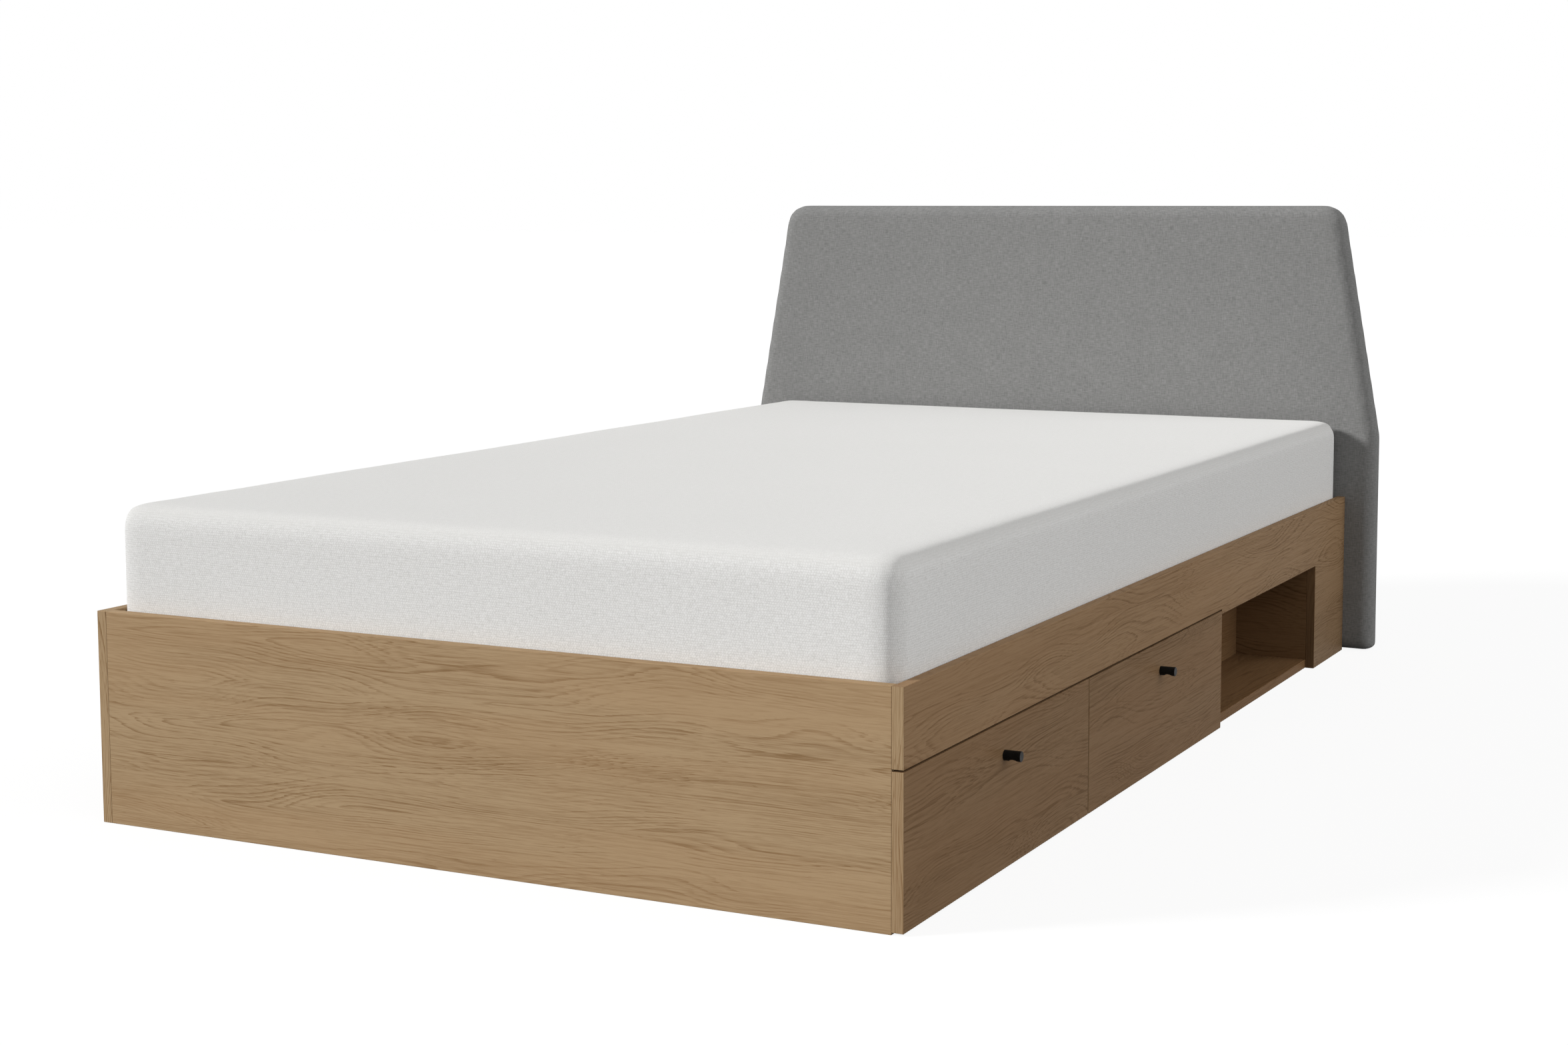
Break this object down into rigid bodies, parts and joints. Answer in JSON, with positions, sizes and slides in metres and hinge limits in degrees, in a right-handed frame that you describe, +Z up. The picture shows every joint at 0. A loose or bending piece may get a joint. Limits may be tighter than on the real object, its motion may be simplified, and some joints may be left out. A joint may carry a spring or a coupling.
{
  "type": "youth bed",
  "caption": "Low bed for a child or teenager with a mattress, an upholstered headboard, side drawers on runners and an open side niche.",
  "frame": {"origin": "on the floor under the middle of the bed's overall box", "axes": "+X towards the side with the drawers, +Y towards the headboard, +Z up"},
  "size_m": [1.352, 2.118, 0.865],
  "materials": {
    "oak_laminate": "satin light oak laminate",
    "raw_board": "matte particle board",
    "drawer_board": "matte pale melamine",
    "pine": "planed pine",
    "zinc": "zinc plated",
    "black_metal": "matte black",
    "cage_plastic": "matte",
    "webbing": "woven tape",
    "headboard_fabric": "melange grey weave",
    "lining_cloth": "black non-woven cloth",
    "foam": "open cell foam",
    "mattress_knit": "off-white knit"
  },
  "bodies": {
    "bed": {"footboard": "oak_laminate", "left_side_panel": "oak_laminate", "right_side_panel": "oak_laminate", "head_panel": "raw_board", "cam_locks": "zinc", "cam_bolts": "zinc", "centre_panel": "oak_laminate", "middle_partition": "oak_laminate", "niche_partition": "oak_laminate", "left_front_brace": "oak_laminate", "left_rear_brace": "oak_laminate", "niche_floor": "oak_laminate", "niche_back": "oak_laminate", "niche_head_wall": "oak_laminate", "niche_top": "oak_laminate", "left_slat_ledge": "pine", "right_slat_ledge": "pine", "ledge_screws": "zinc", "slats": "pine", "slat_straps": "webbing", "cabinet_rail_screws": "zinc", "headboard_cover": "headboard_fabric", "headboard_foam": "foam", "headboard_core": "raw_board", "headboard_back_lining": "lining_cloth", "headboard_bolts": "zinc", "headboard_spacers": "zinc", "headboard_tee_nuts": "zinc", "mattress_cover": "mattress_knit", "mattress_core": "foam", "drawer_1_cabinet_rails": "zinc", "drawer_2_cabinet_rails": "zinc"},
    "drawer_1_middle": {"drawer_1_middle_rails": "zinc", "drawer_1_ball_cages": "cage_plastic"},
    "drawer_1": {"drawer_1_front": "oak_laminate", "drawer_1_inner_front": "drawer_board", "drawer_1_foot_side": "drawer_board", "drawer_1_head_side": "drawer_board", "drawer_1_back": "drawer_board", "drawer_1_bottom": "drawer_board", "drawer_1_knob": "black_metal", "drawer_1_knob_screw": "zinc", "drawer_1_front_screws": "zinc", "drawer_1_rail_screws": "zinc", "drawer_1_slide_rails": "zinc"},
    "drawer_2_middle": {"drawer_2_middle_rails": "zinc", "drawer_2_ball_cages": "cage_plastic"},
    "drawer_2": {"drawer_2_front": "oak_laminate", "drawer_2_inner_front": "drawer_board", "drawer_2_foot_side": "drawer_board", "drawer_2_head_side": "drawer_board", "drawer_2_back": "drawer_board", "drawer_2_bottom": "drawer_board", "drawer_2_knob": "black_metal", "drawer_2_knob_screw": "zinc", "drawer_2_front_screws": "zinc", "drawer_2_rail_screws": "zinc", "drawer_2_slide_rails": "zinc"}
  },
  "joints": [
    {"name": "drawer_1_slide", "type": "slide", "parent": "bed", "child": "drawer_1", "axis": [1, 0, 0], "range_m": [0, 0.44]},
    {"name": "drawer_1_middle_slide", "type": "slide", "parent": "bed", "child": "drawer_1_middle", "axis": [1, 0, 0], "range_m": [0, 0.22]},
    {"name": "drawer_2_slide", "type": "slide", "parent": "bed", "child": "drawer_2", "axis": [1, 0, 0], "range_m": [0, 0.44]},
    {"name": "drawer_2_middle_slide", "type": "slide", "parent": "bed", "child": "drawer_2_middle", "axis": [1, 0, 0], "range_m": [0, 0.22]}
  ],
  "couplings": [
    {"joint": "drawer_1_middle_slide", "follows": "drawer_1_slide", "ratio": 0.5},
    {"joint": "drawer_2_middle_slide", "follows": "drawer_2_slide", "ratio": 0.5}
  ]
}
